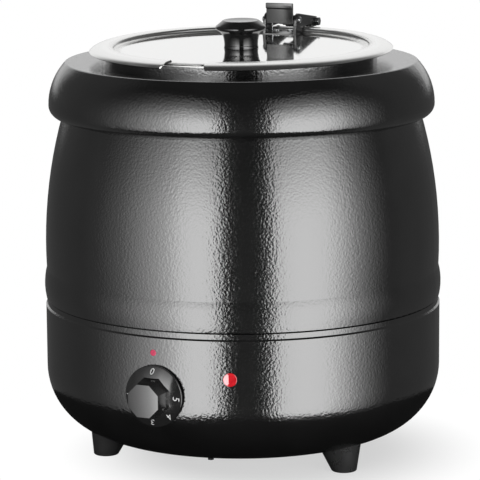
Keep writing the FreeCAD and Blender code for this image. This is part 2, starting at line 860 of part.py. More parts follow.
def thermostat_body():
    half_w = thermostat_width / 2
    half_h = thermostat_height / 2
    front = -thermostat_front()
    back = front + thermostat_plate
    plate_half = thermostat_plate_height / 2
    plate = block(-half_w, half_w, front, back, dial_z - plate_half, dial_z + plate_half)
    case_half = half_w - thermostat_shoulder
    deep = back + thermostat_depth
    case = block(-case_half, case_half, back, deep, dial_z - half_h, dial_z + half_h)
    body = plate.fuse(case).removeSplitter()
    open_y = front - cut_reach
    seat = front + shaft_seat + running_gap
    cuts = [cylinder(shaft_r + running_gap, (0, open_y, dial_z), (0, seat, dial_z))]
    for x in (-thermostat_screw_x, thermostat_screw_x):
        end = (x, front + thermostat_screw_in + 1, dial_z)
        cuts.append(cylinder(thermostat_screw_r, (x, open_y, dial_z), end))
    return about_axis(body.cut(group(cuts)), dial_angle)


def thermostat_screws():
    screws = []
    front = -thermostat_front()
    head_r = thermostat_screw_head_r
    # the flat head meets the round wall on the side nearer to the dial's axis
    seat = -math.sqrt(bowl_r ** 2 - (thermostat_screw_x - head_r) ** 2)
    for x in (-thermostat_screw_x, thermostat_screw_x):
        shank = cylinder(thermostat_screw_r, (x, seat, dial_z), (x, front + thermostat_screw_in, dial_z))
        head = cylinder(head_r, (x, seat - thermostat_screw_head, dial_z), (x, seat, dial_z))
        screws.append(shank.fuse(head).removeSplitter())
    return about_axis(group(screws), dial_angle)


def sensing_bulb():
    # capillary from the thermostat's top, in to the pan's wall, and the bulb standing against it
    start_r = thermostat_front() - thermostat_plate - thermostat_depth / 2
    bulb_axis_r = pan_r + bulb_r + running_gap
    start_z = dial_z + thermostat_height / 2
    bend = capillary_bend
    low_z = start_z + capillary_rise
    path = Path(start_r, start_z).line(start_r, low_z)
    path.arc((start_r - bend, low_z + bend), (start_r - bend, low_z))
    path.line(bulb_axis_r + bend, low_z + bend)
    path.arc((bulb_axis_r, low_z + 2 * bend), (bulb_axis_r + bend, low_z + 2 * bend))
    section = Part.Wire(Part.makeCircle(capillary_r, Vector(start_r, 0, start_z), up))
    tube = path.wire().makePipeShell([section], True, False)
    foot_z = low_z + 2 * bend
    bulb = cylinder(bulb_r, (bulb_axis_r, 0, foot_z), (bulb_axis_r, 0, foot_z + bulb_length))
    return about_axis(tube.fuse(bulb).removeSplitter(), dial_angle - 90)


def pilot_lamp_lens():
    path = Path(0, 0).line(lamp_r, 0).line(lamp_r, lamp_flange)
    height = lamp_flange + lamp_dome
    dome = (lamp_r ** 2 + lamp_dome ** 2) / (2 * lamp_dome)
    path.arc((0, height), (0, height - dome))
    return at_wall(turned(path), -bowl_r, lamp_z, lamp_angle)


def pilot_lamp_body():
    back = -lamp_body_length
    barrel = cylinder(lamp_body_r, (0, 0, back), (0, 0, 0))
    half = tag_sheet / 2
    wide = lamp_tag_width / 2
    places = (-lamp_tag_spread, lamp_tag_spread)
    tags = [block(x - half, x + half, -wide, wide, back - tag_length, back) for x in places]
    return at_wall(barrel.fuse(tags).removeSplitter(), -bowl_r, lamp_z, lamp_angle)


def lock_nut(flats, height, bore_r, z, angle):
    # nut inside the wall, its corners against the round sheet
    seat = bowl_r - math.sqrt(wall_inner_r ** 2 - (flats / 2) ** 2)
    nut = hexagon(flats, (0, 0, -seat - height), (0, 0, -seat))
    bore = cylinder(bore_r, (0, 0, -seat - height - cut_reach), (0, 0, cut_reach))
    return at_wall(nut.cut(bore), -bowl_r, z, angle)


def cord_gland():
    thread = cylinder(gland_thread_r, (0, 0, -casing_sheet - gland_thread_in), (0, 0, 0))
    collar = hexagon(gland_hex_flats, (0, 0, 0), (0, 0, gland_hex))
    path = Path(0, gland_hex).line(gland_dome_r, gland_hex)
    path.line(gland_dome_r, gland_hex + gland_grip)
    path.line(gland_mouth_r, gland_hex + gland_dome).line(0, gland_hex + gland_dome)
    gland = thread.fuse([collar, turned(path)]).removeSplitter()
    inner_end = -casing_sheet - gland_thread_in - cut_reach
    bore = cylinder(gland_bore_r, (0, 0, inner_end), (0, 0, gland_hex + gland_dome + cut_reach))
    return at_wall(gland.cut(bore), -bowl_r, gland_z, gland_angle)


def terminal_block():
    floor = bowl_bottom_z + casing_sheet
    y0 = bowl_opening_r + block_gap
    body = block(-block_length / 2, block_length / 2, y0, y0 + block_width, floor, floor + block_height)
    top = floor + block_height
    way = block_length / block_ways
    cuts = []
    for i in range(block_ways):
        x = -block_length / 2 + way * (i + 0.5)
        for y in (y0 + block_hole_inset, y0 + block_width - block_hole_inset):
            cuts.append(cylinder(block_hole_r, (x, y, top - block_hole), (x, y, top + 1)))
    for i in range(1, block_ways):
        x = -block_length / 2 + way * i
        slot = (x - block_slot / 2, x + block_slot / 2, y0 - 1, y0 + block_width + 1)
        cuts.append(block(*slot, top - block_slot_depth, top + 1))
    return body.cut(group(cuts))


def heating_ring():
    z = pan_under_z - element_r
    ring = Part.makeTorus(element_ring_r, element_r, Vector(0, 0, z), up, -180, 180, 360 - element_gap_angle)
    # the ring's open stretch is turned to the back
    ring.rotate(Vector(0, 0, 0), up, 90 + element_gap_angle / 2)
    ends = []
    for angle in element_leg_angles:
        elbow = Part.makeSphere(element_r, Vector(0, -element_ring_r, z))
        ends.append(about_axis(elbow, angle))
        ends.append(upright(element_r, element_ring_r, z - element_leg, z, angle))
    return ring.fuse(ends).removeSplitter()


def element_plate():
    top = pan_under_z - 2 * element_r
    plate = Part.makeCylinder(plate_r, plate_sheet, Vector(0, 0, top - plate_sheet))
    cuts = [cylinder(stud_r + hole_gap, (0, 0, 0), (0, 0, top))]
    for angle in element_leg_angles:
        cuts.append(upright(element_r + element_hole_gap, element_ring_r, 0, top, angle))
    return plate.cut(group(cuts))


def element_nut_piece():
    top = pan_under_z - 2 * element_r - plate_sheet
    nut = hexagon(element_nut_flats, (0, 0, top - element_nut), (0, 0, top))
    return nut.cut(cylinder(stud_r, (0, 0, 0), (0, 0, top + cut_reach)))


def thermal_cutout():
    top = pan_under_z - 2 * element_r - plate_sheet
    low = top - cutout_height
    can = cylinder(cutout_r, (0, 0, low), (0, 0, top))
    half = tag_sheet / 2
    wide = cutout_tag_width / 2
    places = (-cutout_tag_spread, cutout_tag_spread)
    tags = [block(x - wide, x + wide, -half, half, low - tag_length, low) for x in places]
    switch = can.fuse(tags).removeSplitter()
    switch.translate(Vector(0, cutout_place_r, 0))
    return switch


def tie_rods():
    low = bowl_bottom_z - tie_tail
    return group([upright(tie_r, tie_circle_r, low, pan_under_z, angle) for angle in tie_angles])


def tie_nuts():
    y = -tie_circle_r
    nut = hexagon(nut_flats, (0, y, bowl_bottom_z - nut_height), (0, y, bowl_bottom_z))
    nut = nut.cut(upright(tie_r, tie_circle_r, 0, corner_z))
    return group([about_axis(nut, angle) for angle in tie_angles])


def bottom_plate():
    plate = Part.makeCylinder(cover_r, casing_sheet, Vector(0, 0, bowl_bottom_z - casing_sheet))
    hole = upright(cover_screw_r + hole_gap, cover_screw_circle_r, 0, corner_z)
    return plate.cut(group([about_axis(hole, angle) for angle in cover_screw_angles]))


def plate_screws():
    seat = bowl_bottom_z - casing_sheet
    shank = upright(cover_screw_r, cover_screw_circle_r, seat, seat + cover_screw_length)
    head = upright(cover_screw_head_r, cover_screw_circle_r, seat - cover_screw_head, seat)
    screw = shank.fuse(head).removeSplitter()
    return group([about_axis(screw, angle) for angle in cover_screw_angles])


def bowl_volume():
    # everything inside the bowl's outer skin, used to trim the feet to it
    path = Path(0, bowl_bottom_z).line(corner_r, bowl_bottom_z)
    path.arc((bowl_r, corner_z), (corner_r, corner_z))
    path.line(0, corner_z)
    return turned(path)


def foot(angle):
    sole = Part.Wire(Part.makeCircle(foot_sole_r, Vector(0, -foot_circle_r, 0), up))
    head_y = -foot_circle_r + foot_head_shift
    head = Part.Wire(Part.makeCircle(foot_head_r, Vector(0, head_y, foot_head_z), up))
    cone = Part.makeLoft([sole, head], True, True)
    rim = [e for e in cone.Edges if abs(e.CenterOfMass.z) < 0.01 and len(e.Vertexes) == 1]
    cone = cone.makeFillet(foot_sole_round, rim)
    recess = upright(foot_recess_r, foot_circle_r, -1, foot_recess_z)
    hole = upright(foot_screw_r + hole_gap, foot_circle_r, 0, corner_z)
    return about_axis(cone.cut(group([recess, hole])).cut(bowl_volume()), angle)


def foot_screws():
    seat = foot_recess_z
    top = foot_nut_z() + nut_height + 1
    shank = upright(foot_screw_r, foot_circle_r, seat, top)
    head = upright(foot_screw_head_r, foot_circle_r, seat - foot_screw_head, seat)
    screw = shank.fuse(head).removeSplitter()
    return group([about_axis(screw, angle) for angle in foot_angles])


def foot_nut_z():
    # the nut's outer corner meets the rising inside of the bowl's corner
    inner = bowl_corner - casing_sheet
    return corner_z - math.sqrt(inner ** 2 - (foot_circle_r + nut_flats / 2 - corner_r) ** 2)


def foot_nuts():
    y = -foot_circle_r
    seat = foot_nut_z() + running_gap
    nut = hexagon(nut_flats, (0, y, seat), (0, y, seat + nut_height))
    nut = nut.cut(upright(foot_screw_r, foot_circle_r, 0, corner_z))
    return group([about_axis(nut, angle) for angle in foot_angles])


def pieces():
    nodes = {
        "base_bowl": base_bowl(),
        "barrel_wall": barrel_wall(),
        "collar_ring": collar_ring(),
        "water_pan": water_pan(),
        "soup_pot": soup_pot(),
        "lid_disc": lid_disc(),
        "lid_knob": lid_knob(),
        "knob_screw": knob_screw(),
        "hinge_bracket": hinge_bracket(),
        "bracket_rivets": bracket_rivets(),
        "lever_pin": lever_pin(),
        "lever_spring": lever_spring(),
        "release_lever": release_lever(),
        "rim_clip": rim_clip(),
        "hinge_bolt": hinge_bolt(),
        "hinge_nut": hinge_nut(),
        "control_dial": control_dial(),
        "thermostat_shaft": thermostat_shaft(),
        "thermostat_body": thermostat_body(),
        "thermostat_screws": thermostat_screws(),
        "sensing_bulb": sensing_bulb(),
        "pilot_lamp_lens": pilot_lamp_lens(),
        "pilot_lamp_body": pilot_lamp_body(),
        "pilot_lamp_nut": lock_nut(lamp_nut_flats, lamp_nut, lamp_body_r, lamp_z, lamp_angle),
        "cord_gland": cord_gland(),
        "gland_nut": lock_nut(gland_hex_flats, gland_nut, gland_thread_r, gland_z, gland_angle),
        "terminal_block": terminal_block(),
        "heating_ring": heating_ring(),
        "element_plate": element_plate(),
        "element_nut": element_nut_piece(),
        "thermal_cutout": thermal_cutout(),
        "tie_rods": tie_rods(),
        "tie_nuts": tie_nuts(),
        "bottom_plate": bottom_plate(),
        "plate_screws": plate_screws(),
        "foot_screws": foot_screws(),
        "foot_nuts": foot_nuts(),
    }
    for name, angle in zip(foot_names, foot_angles):
        nodes[name] = foot(angle)
    return nodes


os.makedirs("parts", exist_ok=True)
for name, shape in pieces().items():
    box = shape.BoundBox
    solids = len(shape.Solids)
    if not shape.isValid() or solids == 0:
        raise ValueError(name + " is not a valid solid")
    shape.exportStep("parts/" + name + ".step")
    print(f"{name}: {solids} solids, volume {shape.Volume:.0f}, z {box.ZMin:.1f} to {box.ZMax:.1f}")
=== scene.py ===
# Soup kettle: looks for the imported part, in metres, front along -Y, standing on z = 0.
import json
import math

import bpy
from mathutils import Matrix, Vector

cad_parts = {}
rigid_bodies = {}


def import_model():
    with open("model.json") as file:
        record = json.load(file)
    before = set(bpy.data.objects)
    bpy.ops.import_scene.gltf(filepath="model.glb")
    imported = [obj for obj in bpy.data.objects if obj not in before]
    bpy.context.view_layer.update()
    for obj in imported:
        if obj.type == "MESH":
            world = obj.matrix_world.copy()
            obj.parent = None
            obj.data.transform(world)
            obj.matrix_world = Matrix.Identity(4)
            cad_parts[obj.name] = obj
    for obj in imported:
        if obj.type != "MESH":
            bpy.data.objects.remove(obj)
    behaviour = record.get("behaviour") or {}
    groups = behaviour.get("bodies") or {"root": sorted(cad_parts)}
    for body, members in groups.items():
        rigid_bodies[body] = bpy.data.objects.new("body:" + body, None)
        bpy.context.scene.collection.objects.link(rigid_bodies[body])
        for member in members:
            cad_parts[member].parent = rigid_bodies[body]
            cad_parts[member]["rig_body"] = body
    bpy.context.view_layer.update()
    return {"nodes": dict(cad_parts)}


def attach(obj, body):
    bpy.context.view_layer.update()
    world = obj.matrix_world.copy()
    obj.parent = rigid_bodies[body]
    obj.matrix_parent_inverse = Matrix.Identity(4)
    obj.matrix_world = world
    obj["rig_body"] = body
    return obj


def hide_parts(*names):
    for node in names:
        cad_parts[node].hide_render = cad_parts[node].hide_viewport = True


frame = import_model()
nodes = frame["nodes"]
print("frame: %d nodes" % len(nodes))

mm = 0.001
# points closer than the first are one point, and a place is met within the second
weld = 0.001 * mm
touching = 0.01 * mm


def grey(level):
    return (level, level, level)


def direction(angle):
    # level direction, counted from the front towards the right
    return Vector((math.sin(math.radians(angle)), -math.cos(math.radians(angle)), 0))


def startFinish(name, colour, roughness, metallic=0.0):
    finish = bpy.data.materials.new(name)
    finish.use_nodes = True
    shader = finish.node_tree.nodes["Principled BSDF"]
    shader.inputs["Base Color"].default_value = (*colour, 1)
    shader.inputs["Roughness"].default_value = roughness
    shader.inputs["Metallic"].default_value = metallic
    return finish, finish.node_tree, shader


def addNode(tree, kind, **values):
    node = tree.nodes.new(kind)
    for name, value in values.items():
        if name in node.inputs:
            node.inputs[name].default_value = value
        else:
            setattr(node, name, value)
    return node


def objectPlace(tree, scale=(1, 1, 1)):
    place = addNode(tree, "ShaderNodeTexCoord")
    mapping = addNode(tree, "ShaderNodeMapping")
    mapping.inputs["Scale"].default_value = scale
    tree.links.new(place.outputs["Object"], mapping.inputs["Vector"])
    return mapping.outputs["Vector"]


def noise(tree, place, size, detail=2.0):
    # size is about one blob of the noise, in metres
    grain = addNode(tree, "ShaderNodeTexNoise", Scale=1 / size, Detail=detail)
    tree.links.new(place, grain.inputs["Vector"])
    return grain.outputs["Fac"]


def mapRange(tree, value, source, target=(0, 1), curve="LINEAR"):
    span = addNode(tree, "ShaderNodeMapRange", interpolation_type=curve)
    for socket, number in zip(("From Min", "From Max", "To Min", "To Max"), (*source, *target)):
        span.inputs[socket].default_value = number
    tree.links.new(value, span.inputs["Value"])
    return span.outputs["Result"]


# most of a noise's values lie in these spans
shineSpan = (0.25, 0.75)
tintSpan = (0.3, 0.7)


def uneven(tree, value, low, high):
    # a roughness that wanders between low and high
    return mapRange(tree, value, shineSpan, (low, high))


def tint(tree, value, dark, light):
    ramp = addNode(tree, "ShaderNodeValToRGB")
    for mark, position, colour in zip(ramp.color_ramp.elements, tintSpan, (dark, light)):
        mark.position = position
        mark.color = (*colour, 1)
    tree.links.new(value, ramp.inputs["Fac"])
    return ramp.outputs["Color"]


def flatten(tree, place):
    # leaves the height out
    flat = addNode(tree, "ShaderNodeVectorMath", operation="MULTIPLY")
    flat.inputs[1].default_value = (1, 1, 0)
    tree.links.new(place, flat.inputs[0])
    return flat.outputs[0]


def levelRamp(tree, value, stops):
    ramp = addNode(tree, "ShaderNodeValToRGB")
    marks = ramp.color_ramp.elements
    for index, (position, level) in enumerate(stops):
        mark = marks[index] if index < 2 else marks.new(position)
        mark.position = position
        mark.color = (*grey(level), 1)
    tree.links.new(value, ramp.inputs["Fac"])
    return ramp.outputs["Color"]


def addBump(tree, shader, height, strength, distance):
    bump = addNode(tree, "ShaderNodeBump", Strength=strength, Distance=distance)
    tree.links.new(height, bump.inputs["Height"])
    tree.links.new(bump.outputs["Normal"], shader.inputs["Normal"])


hammertone = {"base": grey(0.005), "dark": grey(0.004), "light": grey(0.007), "cloud": 30 * mm,
              "peel": 1.5 * mm, "detail": 1.5, "pebble": 2.0 * mm, "strength": 1.0, "depth": 0.1 * mm,
              "ior": 2.45, "roughness": 0.15}


def makeHammertone():
    # near-black paint that has drawn up into an orange peel
    finish, tree, shader = startFinish("blackHammertone", hammertone["base"], hammertone["roughness"])
    shader.inputs["IOR"].default_value = hammertone["ior"]
    place = objectPlace(tree)
    pebbles = addNode(tree, "ShaderNodeTexVoronoi", feature="SMOOTH_F1", Scale=1 / hammertone["pebble"])
    tree.links.new(place, pebbles.inputs["Vector"])
    height = addNode(tree, "ShaderNodeMath", operation="SUBTRACT")
    tree.links.new(noise(tree, place, hammertone["peel"], hammertone["detail"]), height.inputs[0])
    tree.links.new(pebbles.outputs["Distance"], height.inputs[1])
    addBump(tree, shader, height.outputs[0], hammertone["strength"], hammertone["depth"])
    cloud = noise(tree, place, hammertone["cloud"])
    tree.links.new(tint(tree, cloud, hammertone["dark"], hammertone["light"]), shader.inputs["Base Color"])
    return finish


steel = {"line": 0.5 * mm, "stretch": (0.02, 1, 1), "detail": 3.0, "depth": 0.05 * mm, "cloud": 25 * mm,
         "bright": (0.86, 0.86, 0.85)}


def addRollingLines(tree, shader, strength):
    lines = noise(tree, objectPlace(tree, steel["stretch"]), steel["line"], steel["detail"])
    addBump(tree, shader, lines, strength, steel["depth"])


def makeSteel(name, colour, low, high, strength):
    # fine rolling lines along X, and a little cloudiness in the shine
    finish, tree, shader = startFinish(name, colour, low, 1.0)
    cloud = noise(tree, objectPlace(tree), steel["cloud"], steel["detail"])
    tree.links.new(uneven(tree, cloud, low, high), shader.inputs["Roughness"])
    addRollingLines(tree, shader, strength)
    return finish


# steps give the roughness from the middle outwards, by the share of the radius
lidShine = {"radius": 130 * mm, "start": 0.06, "lines": 0.05,
            "steps": ((0.0, 0.05), (0.775, 0.06), (0.8, 0.3), (0.85, 0.3), (0.88, 0.2), (0.9, 0.2),
                      (0.925, 0.24))}


def makeLidSteel():
    # a mirror in the middle, duller towards the rim, and dullest where the press has drawn the steel round
    finish, tree, shader = startFinish("lidSteel", steel["bright"], lidShine["start"], 1.0)
    radius = addNode(tree, "ShaderNodeVectorMath", operation="LENGTH")
    tree.links.new(flatten(tree, objectPlace(tree)), radius.inputs[0])
    share = addNode(tree, "ShaderNodeMath", operation="DIVIDE")
    share.inputs[1].default_value = lidShine["radius"]
    tree.links.new(radius.outputs["Value"], share.inputs[0])
    tree.links.new(levelRamp(tree, share.outputs[0], lidShine["steps"]), shader.inputs["Roughness"])
    addRollingLines(tree, shader, lidShine["lines"])
    return finish


moulded = {"cloud": 12 * mm, "detail": 3.0, "strength": 0.5}


def makeMoulded(name, dark, light, low, high, grain, depth, ior=1.5):
    # moulded plastic or enamel: a fine skin, slightly uneven shine
    finish, tree, shader = startFinish(name, dark, low)
    shader.inputs["IOR"].default_value = ior
    place = objectPlace(tree)
    skin = noise(tree, place, grain, moulded["detail"])
    cloud = noise(tree, place, moulded["cloud"])
    tree.links.new(tint(tree, cloud, dark, light), shader.inputs["Base Color"])
    tree.links.new(uneven(tree, cloud, low, high), shader.inputs["Roughness"])
    addBump(tree, shader, skin, moulded["strength"], depth)
    return finish


lampGlass = {"base": (0.62, 0.01, 0.02), "dark": (0.5, 0.004, 0.012), "light": (0.75, 0.02, 0.03), "ior": 2.8,
             "roughness": 0.05, "glow": (0.8, 0.01, 0.02), "strength": 0.15, "cloud": 4 * mm, "detail": 1.0,
             "wave": 0.2, "depth": 0.02 * mm}


def makeLampRed():
    # red glass with a faint glow of its own
    finish, tree, shader = startFinish("lampRed", lampGlass["base"], lampGlass["roughness"])
    cloud = noise(tree, objectPlace(tree), lampGlass["cloud"], lampGlass["detail"])
    tree.links.new(tint(tree, cloud, lampGlass["dark"], lampGlass["light"]), shader.inputs["Base Color"])
    shader.inputs["IOR"].default_value = lampGlass["ior"]
    shader.inputs["Emission Color"].default_value = (*lampGlass["glow"], 1)
    shader.inputs["Emission Strength"].default_value = lampGlass["strength"]
    addBump(tree, shader, cloud, lampGlass["wave"], lampGlass["depth"])
    return finish


# steels: colour, roughness from and to, strength of the lines
# mouldings: darkest and lightest colour, roughness from and to, grain of the skin and its depth, and some
# refract more than plain plastic
finishes = {
    "black_hammertone": makeHammertone(),
    "polished_steel": makeSteel("polishedSteel", steel["bright"], 0.05, 0.08, 0.06),
    "satin_steel": makeSteel("satinSteel", (0.78, 0.78, 0.77), 0.26, 0.36, 0.3),
    "zinc_steel": makeSteel("zincSteel", (0.72, 0.73, 0.74), 0.2, 0.32, 0.25),
    "element_steel": makeSteel("elementSteel", (0.4, 0.38, 0.36), 0.35, 0.5, 0.4),
    "plate_aluminium": makeSteel("plateAluminium", (0.75, 0.75, 0.76), 0.3, 0.45, 0.4),
    "copper": makeSteel("copper", (0.75, 0.38, 0.25), 0.2, 0.35, 0.2),
    "black_plastic": makeMoulded("blackPlastic", grey(0.012), grey(0.018), 0.1, 0.16,
                                 0.4 * mm, 0.004 * mm, 2.1),
    "black_enamel": makeMoulded("blackEnamel", (0.02, 0.02, 0.021), (0.03, 0.03, 0.031), 0.2, 0.28,
                                0.6 * mm, 0.01 * mm, 2.7),
    "foot_plastic": makeMoulded("footPlastic", grey(0.045), grey(0.06), 0.26, 0.34,
                                0.5 * mm, 0.01 * mm, 2.1),
    "grey_plastic": makeMoulded("greyPlastic", grey(0.25), grey(0.3), 0.4, 0.5, 0.5 * mm, 0.02 * mm),
    "white_plastic": makeMoulded("whitePlastic", (0.72, 0.71, 0.68), (0.78, 0.77, 0.74), 0.4, 0.5,
                                 0.5 * mm, 0.02 * mm),
    "lamp_red": makeLampRed(),
}
numberPaint = makeMoulded("numberPaint", grey(0.66), grey(0.74), 0.4, 0.5, 0.3 * mm, 0.01 * mm)
dotRed = makeMoulded("dotRed", (0.6, 0.02, 0.09), (0.72, 0.05, 0.14), 0.2, 0.3, 0.6 * mm, 0.02 * mm)
slotOf = {}
for name, node in nodes.items():
    slotOf[name] = node.material_slots[0].name
    node.material_slots[0].material = finishes[slotOf[name]]
nodes["rim_clip"].material_slots[0].material = finishes["polished_steel"]
# the fasteners under the bowl are blackened
for name in ("tie_nuts", "tie_rods", "plate_screws"):
    nodes[name].material_slots[0].material = finishes["black_enamel"]
nodes["lid_disc"].material_slots[0].material = makeLidSteel()
print("finishes:", len(finishes))


def focus(piece):
    if bpy.context.mode != "OBJECT":
        bpy.ops.object.mode_set(mode="OBJECT")
    bpy.ops.object.select_all(action="DESELECT")
    piece.select_set(True)
    bpy.context.view_layer.objects.active = piece


def pick(piece, kind, test):
    # selects points, edges or faces by their place or normal, and leaves the piece in edit mode
    focus(piece)
    bpy.ops.object.mode_set(mode="EDIT")
    bpy.ops.mesh.select_mode(type=kind)
    bpy.ops.mesh.select_all(action="DESELECT")
    bpy.ops.object.mode_set(mode="OBJECT")
    mesh = piece.data
    for part in {"VERT": mesh.vertices, "EDGE": mesh.edges, "FACE": mesh.polygons}[kind]:
        part.select = test(part)
    bpy.ops.object.mode_set(mode="EDIT")


def edgeEnds(piece, edge):
    return [piece.data.vertices[index].co for index in edge.vertices]


def faceOut(piece):
    focus(piece)
    bpy.ops.object.mode_set(mode="EDIT")
    bpy.ops.mesh.select_all(action="SELECT")
    bpy.ops.mesh.remove_doubles(threshold=weld)
    bpy.ops.mesh.normals_make_consistent(inside=False)
    bpy.ops.object.mode_set(mode="OBJECT")


def roundEdges(piece, width, segments=3, angle=40):
    focus(piece)
    rounding = piece.modifiers.new("rounding", "BEVEL")
    rounding.width = width
    rounding.segments = segments
    rounding.limit_method = "ANGLE"
    rounding.angle_limit = math.radians(angle)
    bpy.ops.object.modifier_apply(modifier="rounding")


def combine(piece, other, operation="UNION"):
    focus(piece)
    joining = piece.modifiers.new("joining", "BOOLEAN")
    joining.operation = operation
    joining.object = other
    joining.solver = "EXACT"
    bpy.ops.object.modifier_apply(modifier="joining")
    bpy.data.objects.remove(other)


def drill(piece, radius, depth, spot=(0, 0), sides=32):
    # an upright round hole, from below the foot up to the depth
    bpy.ops.object.select_all(action="DESELECT")
    bpy.ops.mesh.primitive_cylinder_add(vertices=sides, radius=radius, depth=2 * depth, location=(*spot, 0))
    combine(piece, bpy.context.object, "DIFFERENCE")


def bevelEnd(piece, across, size, segments):
    # takes off the edges at one end of a piece that lies across
    pick(piece, "EDGE", lambda edge: all(abs(end.x - across) < touching for end in edgeEnds(piece, edge)))
    bpy.ops.mesh.bevel(offset=size, segments=segments, affect="EDGES")
    bpy.ops.object.mode_set(mode="OBJECT")


def settle(piece, place, smooth=35):
    # puts the place into the mesh, and leaves the object at the origin
    focus(piece)
    piece.matrix_world = place @ piece.matrix_world
    bpy.ops.object.transform_apply(location=True, rotation=True, scale=True)
    bpy.ops.object.shade_smooth_by_angle(angle=math.radians(smooth))


def dress(piece, name, body, finish):
    piece.name = name
    piece.data.name = name
    piece.data.materials.clear()
    piece.data.materials.append(finish)
    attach(piece, body)


def standIn(piece, name, node):
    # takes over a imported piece, on the same body and with the same finish
    dress(piece, name, nodes[node]["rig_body"], finishes[slotOf[node]])
    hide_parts(node)


def wallPlace(out, height, angle):
    # pieces for the bowl's wall are made along +Z, with +Y up, and laid outwards
    turn = Matrix.Rotation(math.radians(angle), 4, "Z")
    return turn @ Matrix.Translation((0, -out, height)) @ Matrix.Rotation(math.radians(90), 4, "X")


def stackRings(rings, points):
    # a round piece drawn up ring by ring: (radius, height) from the back face to the front one
    bpy.ops.object.select_all(action="DESELECT")
    radius, height = rings[0]
    bpy.ops.mesh.primitive_circle_add(vertices=points, radius=radius, fill_type="NGON", location=(0, 0, height))
    piece = bpy.context.object
    bpy.ops.object.transform_apply(location=True)
    bpy.ops.object.mode_set(mode="EDIT")
    bpy.ops.mesh.select_all(action="SELECT")
    for wide, high in rings[1:]:
        bpy.ops.mesh.extrude_region_move(TRANSFORM_OT_translate={"value": (0, 0, high - height)})
        scale = wide / radius
        bpy.ops.transform.resize(value=(scale, scale, 1), center_override=(0, 0, high))
        radius, height = wide, high
    bpy.ops.object.mode_set(mode="OBJECT")
    faceOut(piece)
    return piece


def arc(centre, radius, start, end, steps):
    # points of a side view (y, z), angles from +Y towards +Z
    turns = [math.radians(start + (end - start) * step / steps) for step in range(steps + 1)]
    return [(centre[0] + radius * math.cos(turn), centre[1] + radius * math.sin(turn)) for turn in turns]


def cutPlate(corners, low, high, rounds=()):
    # a plate drawn in the side view by its corners, some of them rounded, and drawn out across from low to high
    bpy.ops.object.select_all(action="DESELECT")
    bpy.ops.mesh.primitive_plane_add(size=mm)
    plate = bpy.context.object
    bpy.ops.object.mode_set(mode="EDIT")
    bpy.ops.mesh.select_mode(type="VERT")
    bpy.ops.mesh.select_all(action="SELECT")
    bpy.ops.mesh.merge(type="CENTER")
    bpy.ops.transform.translate(value=(low, *corners[0]))
    for (y0, z0), (y1, z1) in zip(corners, corners[1:]):
        bpy.ops.mesh.extrude_region_move(TRANSFORM_OT_translate={"value": (0, y1 - y0, z1 - z0)})
    bpy.ops.mesh.select_all(action="SELECT")
    bpy.ops.mesh.edge_face_add()
    for corner, size in rounds:
        spot = Vector((low, *corner))
        pick(plate, "VERT", lambda point: (point.co - spot).length < touching)
        bpy.ops.mesh.bevel(offset=size, segments=6, affect="VERTICES")
    pick(plate, "FACE", lambda face: True)
    bpy.ops.mesh.extrude_region_move(TRANSFORM_OT_translate={"value": (high - low, 0, 0)})
    bpy.ops.object.mode_set(mode="OBJECT")
    faceOut(plate)
    return plate


def crossRod(radius, start, end, spot, sides=32):
    # a rod or a hexagon along the hinge, from start to end across
    bpy.ops.object.select_all(action="DESELECT")
    bpy.ops.mesh.primitive_cylinder_add(vertices=sides, radius=radius, depth=end - start,
                                        location=((start + end) / 2, *spot), rotation=(0, math.pi / 2, 0))
    rod = bpy.context.object
    bpy.ops.object.transform_apply(location=True, rotation=True)
    return rod


dial = {"radius": 25.5 * mm, "rim": 1.8 * mm, "top": 15.4 * mm, "skirt": 5.7 * mm, "depth": 20.8 * mm,
        "sides": 8, "base": 32.0 * mm, "face": 27.0 * mm, "sink": 1.1 * mm, "wall": 2.0 * mm, "hub": 6.0 * mm,
        "hollow": 16.0 * mm, "hollowEdge": 1.2 * mm, "bore": 3.0 * mm, "boreEnd": 18.2 * mm, "boreSides": 48,
        "softEdge": 0.45 * mm, "gripEdge": 0.15 * mm, "points": 96, "smooth": 25,
        "out": 170.2 * mm, "height": 81.3 * mm, "angle": -8.7}


def makeDial():
    floorHeight = dial["skirt"] - dial["wall"]
    innerRadius = dial["radius"] - dial["wall"]
    skirt = stackRings([(dial["hub"], 0), (dial["hub"], floorHeight), (dial["hollow"], floorHeight),
                        (innerRadius, dial["hollowEdge"]), (innerRadius, 0), (dial["radius"], 0),
                        (dial["radius"], dial["rim"]), (dial["top"], dial["skirt"])], dial["points"])
    roundEdges(skirt, dial["softEdge"])
    # eight-sided grip, its flats square to the skirt
    foot = dial["skirt"] - dial["sink"]
    corner = 2 * math.cos(math.pi / dial["sides"])
    bpy.ops.object.select_all(action="DESELECT")
    bpy.ops.mesh.primitive_cone_add(vertices=dial["sides"], radius1=dial["base"] / corner,
                                    radius2=dial["face"] / corner, depth=dial["depth"] - foot,
                                    location=(0, 0, (dial["depth"] + foot) / 2),
                                    rotation=(0, 0, math.pi / dial["sides"]))
    grip = bpy.context.object
    bpy.ops.object.transform_apply(location=True, rotation=True)
    roundEdges(grip, dial["gripEdge"])
    combine(skirt, grip)
    drill(skirt, dial["bore"], dial["boreEnd"], sides=dial["boreSides"])
    settle(skirt, wallPlace(dial["out"], dial["height"], dial["angle"]), dial["smooth"])
    standIn(skirt, "dialKnob", "control_dial")


numbers = {"marks": (("0", 0), ("1", 90), ("2", 135), ("3", 180), ("4", 225), ("5", 270)), "tall": 5.3 * mm,
           "slant": 0.2, "thick": 0.16 * mm, "radius": 21.2 * mm}


